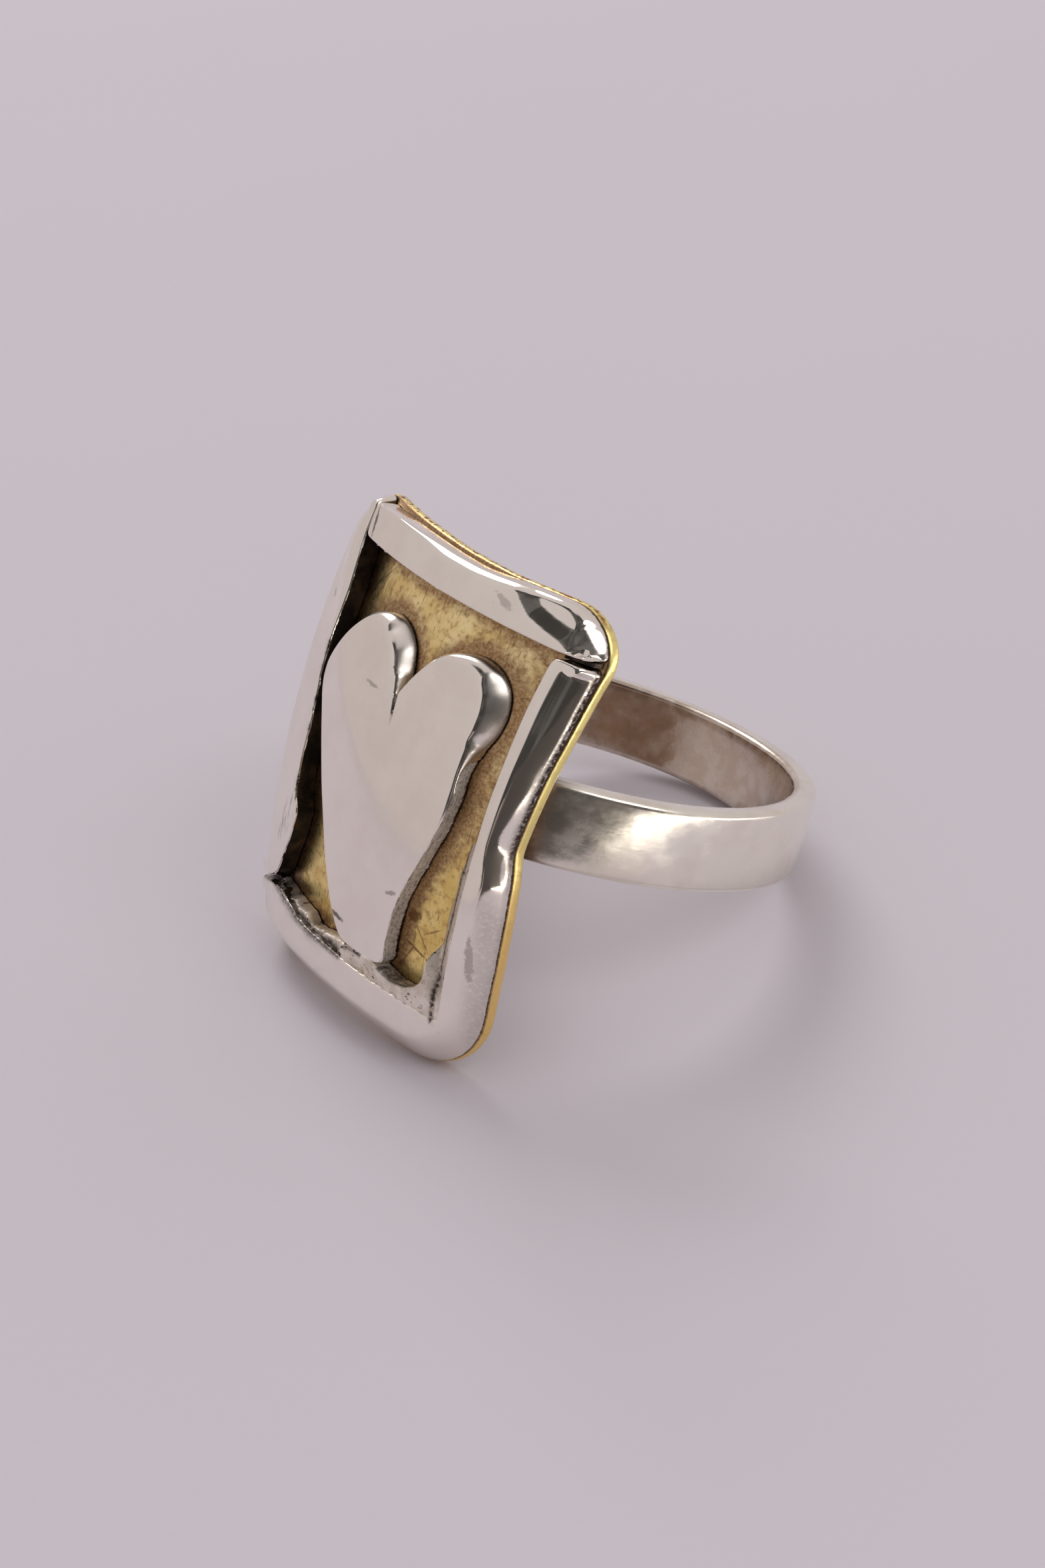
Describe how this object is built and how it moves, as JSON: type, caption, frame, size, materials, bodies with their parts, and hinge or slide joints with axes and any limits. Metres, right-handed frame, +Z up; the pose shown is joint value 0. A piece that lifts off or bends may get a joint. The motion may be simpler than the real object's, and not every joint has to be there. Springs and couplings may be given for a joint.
{
  "type": "finger ring",
  "caption": "Handmade silver ring: a bowed rectangular brass plate framed by flat silver strips and carrying a silver heart, soldered to a plain band.",
  "frame": {"origin": "on the surface that the ring lies on, under the middle of its bounding box", "axes": "+Z up from that surface, -Y the way that the plate and its heart face, +X to the viewer's right of the heart; the ring lies on the lower edge of its plate and the back of its shank, so the finger's axis leans 24.6 degrees back from +Z towards +Y"},
  "size_m": [0.0192, 0.0226, 0.0174],
  "materials": {
    "shank_silver": "satin silver, dark at the solder",
    "plate_brass": "brushed, brown patina at the edges",
    "border_silver": "polished silver with scratches and file marks",
    "heart_silver": "polished silver, sawn edges rough"
  },
  "bodies": {
    "root": {"shank": "shank_silver", "back_plate": "plate_brass", "border": "border_silver", "heart": "heart_silver"}
  },
  "joints": []
}
